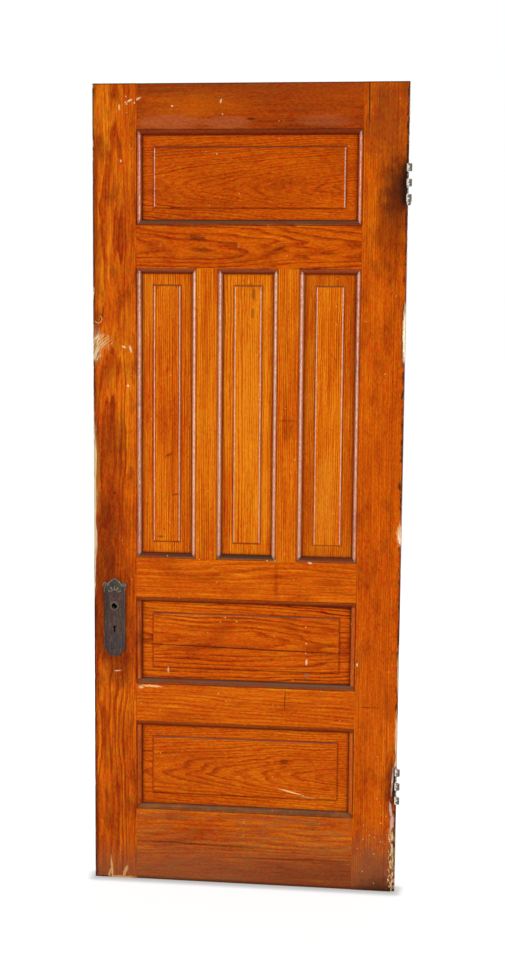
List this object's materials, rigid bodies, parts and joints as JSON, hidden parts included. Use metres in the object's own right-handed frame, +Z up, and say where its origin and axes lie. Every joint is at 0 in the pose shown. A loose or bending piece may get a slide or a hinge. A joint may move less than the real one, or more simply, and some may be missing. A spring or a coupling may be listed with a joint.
{
  "type": "six-panel door leaf",
  "caption": "Old interior door leaf of varnished softwood: moulded stiles and rails round raised panels, with mortise lock, ornamented lock plates and the door halves of its butt hinges.",
  "frame": {"origin": "middle of the leaf's bottom edge, half-way through its thickness", "axes": "+X from the lock edge to the hinge edge as seen from the front, +Y from the front face to the back face, +Z up"},
  "size_m": [0.7703, 0.0523, 1.981],
  "materials": {
    "stile_wood": "worn orange-brown gloss varnish",
    "rail_wood": "worn orange-brown gloss varnish",
    "panel_wood": "orange-brown gloss varnish",
    "plate_metal": "dark, rubbed bright on the high points",
    "lock_iron": "dull",
    "screw_steel": "dull",
    "spring_steel": "dull",
    "hinge_metal": "old pale paint, chipped"
  },
  "bodies": {
    "door": {"lock_stile": "stile_wood", "hinge_stile": "stile_wood", "left_mullion": "stile_wood", "right_mullion": "stile_wood", "top_rail": "rail_wood", "frieze_rail": "rail_wood", "lock_rail": "rail_wood", "cross_rail": "rail_wood", "bottom_rail": "rail_wood", "top_panel": "panel_wood", "left_panel": "panel_wood", "centre_panel": "panel_wood", "right_panel": "panel_wood", "middle_panel": "panel_wood", "bottom_panel": "panel_wood", "front_escutcheon": "plate_metal", "back_escutcheon": "plate_metal", "lock_case": "lock_iron", "lock_cap": "lock_iron", "lock_front": "lock_iron", "front_escutcheon_screws": "screw_steel", "back_escutcheon_screws": "screw_steel", "lock_cap_screws": "screw_steel", "lock_front_screws": "screw_steel", "upper_hinge_screws": "screw_steel", "lower_hinge_screws": "screw_steel", "latch_spring": "spring_steel", "bolt_spring": "spring_steel", "upper_hinge_leaf": "hinge_metal", "lower_hinge_leaf": "hinge_metal", "upper_hinge_tip": "hinge_metal"},
    "hub": {"lock_hub": "lock_iron"},
    "latch": {"latch_bolt": "lock_iron"},
    "bolt": {"dead_bolt": "lock_iron"}
  },
  "joints": [
    {"name": "hub_turn", "type": "hinge", "parent": "door", "child": "hub", "pos_m": [-0.329, 0, 0.706], "axis": [0, -1, 0], "range_deg": [0, 50]},
    {"name": "latch_slide", "type": "slide", "parent": "door", "child": "latch", "axis": [-1, 0, 0], "range_m": [0, 0.01268], "deforming": ["latch_spring"]},
    {"name": "bolt_slide", "type": "slide", "parent": "door", "child": "bolt", "axis": [-1, 0, 0], "range_m": [0, 0.0127], "deforming": ["bolt_spring"]}
  ],
  "couplings": [
    {"joint": "hub_turn", "follows": "latch_slide", "rad_per_m": 68.83}
  ]
}
